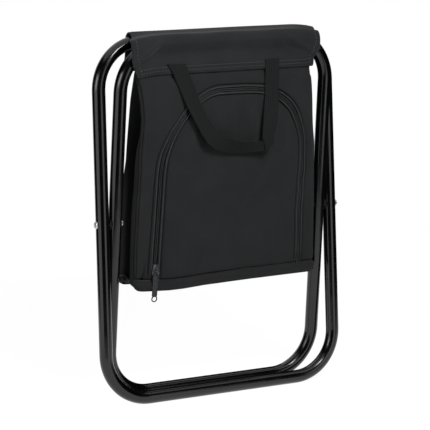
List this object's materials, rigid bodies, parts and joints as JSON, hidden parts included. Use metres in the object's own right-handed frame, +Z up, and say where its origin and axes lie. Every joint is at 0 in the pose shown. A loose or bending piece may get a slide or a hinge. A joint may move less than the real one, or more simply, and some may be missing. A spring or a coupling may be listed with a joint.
{
  "type": "folding cooler stool",
  "caption": "Folding stool of crossed bent-tube frames with a cloth seat and a zipped insulated cooler bag hung beneath it, shown folded for carrying.",
  "frame": {"origin": "on the floor, at the middle of the folded stool's footprint box", "axes": "+Z up, -Y to the front with the zipped door and handle, +X to the stool's right as seen from the front"},
  "size_m": [0.353, 0.0676, 0.4576],
  "materials": {
    "black_paint": "gloss black powder coat",
    "plain_steel": "bare steel",
    "zinc": "bright zinc plate",
    "nylon": "black nylon",
    "charcoal_cloth": "charcoal woven polyester",
    "webbing": "charcoal webbing",
    "foam": "closed-cell foam sheet",
    "silver_lining": "silver film lining",
    "zip_tape": "black woven tape",
    "zip_nylon": "black nylon coil",
    "zip_metal": "black enamel"
  },
  "bodies": {
    "bag_rear": {"rear_sleeve": "charcoal_cloth", "rear_sleeve_facing": "charcoal_cloth", "rear_panel": "charcoal_cloth", "rear_insulation": "foam", "rear_lining": "silver_lining", "rear_base_band": "charcoal_cloth"},
    "outer_frame": {"outer_frame_tube": "black_paint", "outer_frame_spigot": "plain_steel", "left_pivot_rivet": "zinc", "right_pivot_rivet": "zinc", "left_pivot_washer": "nylon", "right_pivot_washer": "nylon"},
    "inner_frame": {"inner_frame_tube": "black_paint", "inner_frame_spigot": "plain_steel"},
    "bag_front": {"front_sleeve": "charcoal_cloth", "front_sleeve_facing": "charcoal_cloth", "front_panel": "charcoal_cloth", "front_insulation": "foam", "front_lining": "silver_lining", "front_base_band": "charcoal_cloth", "door_panel": "charcoal_cloth", "door_insulation": "foam", "zip_outer_tape": "zip_tape", "zip_inner_tape": "zip_tape", "zip_coil": "zip_nylon"},
    "rear_folds": {"seat_rear_half": "charcoal_cloth", "left_gusset_rear_half": "charcoal_cloth", "right_gusset_rear_half": "charcoal_cloth", "base_rear_half": "charcoal_cloth"},
    "front_folds": {"seat_front_half": "charcoal_cloth", "left_gusset_front_half": "charcoal_cloth", "right_gusset_front_half": "charcoal_cloth", "base_front_half": "charcoal_cloth"},
    "zip_slider": {"zip_slider": "zip_metal"},
    "zip_pull": {"zip_pull": "zip_metal"},
    "handle": {"handle_strap": "webbing"}
  },
  "joints": [
    {"name": "rear_bar_turn", "type": "hinge", "parent": "bag_rear", "child": "outer_frame", "pos_m": [0, 0.02305, 0.44686], "axis": [1, 0, 0], "range_deg": [-34.05, 0]},
    {"name": "fold", "type": "hinge", "parent": "outer_frame", "child": "inner_frame", "pos_m": [0, 0.00751, 0.22741], "axis": [1, 0, 0], "range_deg": [0, 68]},
    {"name": "front_bar_turn", "type": "hinge", "parent": "inner_frame", "child": "bag_front", "pos_m": [0, -0.00803, 0.44686], "axis": [1, 0, 0], "range_deg": [-34.05, 0]},
    {"name": "rear_cloth_unfold", "type": "slide", "parent": "bag_rear", "child": "rear_folds", "axis": [0, -1, 0], "range_m": [0, 0.1202], "deforming": ["seat_rear_half", "left_gusset_rear_half", "right_gusset_rear_half", "base_rear_half"]},
    {"name": "front_cloth_unfold", "type": "slide", "parent": "bag_front", "child": "front_folds", "axis": [0, 1, 0], "range_m": [0, 0.1202], "deforming": ["seat_front_half", "left_gusset_front_half", "right_gusset_front_half", "base_front_half"]},
    {"name": "zip_run", "type": "slide", "parent": "bag_front", "child": "zip_slider", "axis": [0.0698, 0, 0.9976], "range_m": [0, 0.12], "deforming": ["zip_coil"]},
    {"name": "pull_swing", "type": "hinge", "parent": "zip_slider", "child": "zip_pull", "pos_m": [-0.10013, -0.01473, 0.16909], "axis": [-1, 0, 0], "range_deg": [0, 150]},
    {"name": "handle_swing", "type": "hinge", "parent": "bag_front", "child": "handle", "pos_m": [0, -0.02013, 0.42186], "axis": [-1, 0, 0], "range_deg": [0, 145]}
  ],
  "couplings": [
    {"joint": "rear_bar_turn", "follows": "fold", "ratio": -0.5},
    {"joint": "front_bar_turn", "follows": "fold", "ratio": -0.5},
    {"joint": "rear_cloth_unfold", "follows": "fold", "m_per_rad": 0.10116},
    {"joint": "front_cloth_unfold", "follows": "fold", "m_per_rad": 0.10116}
  ]
}
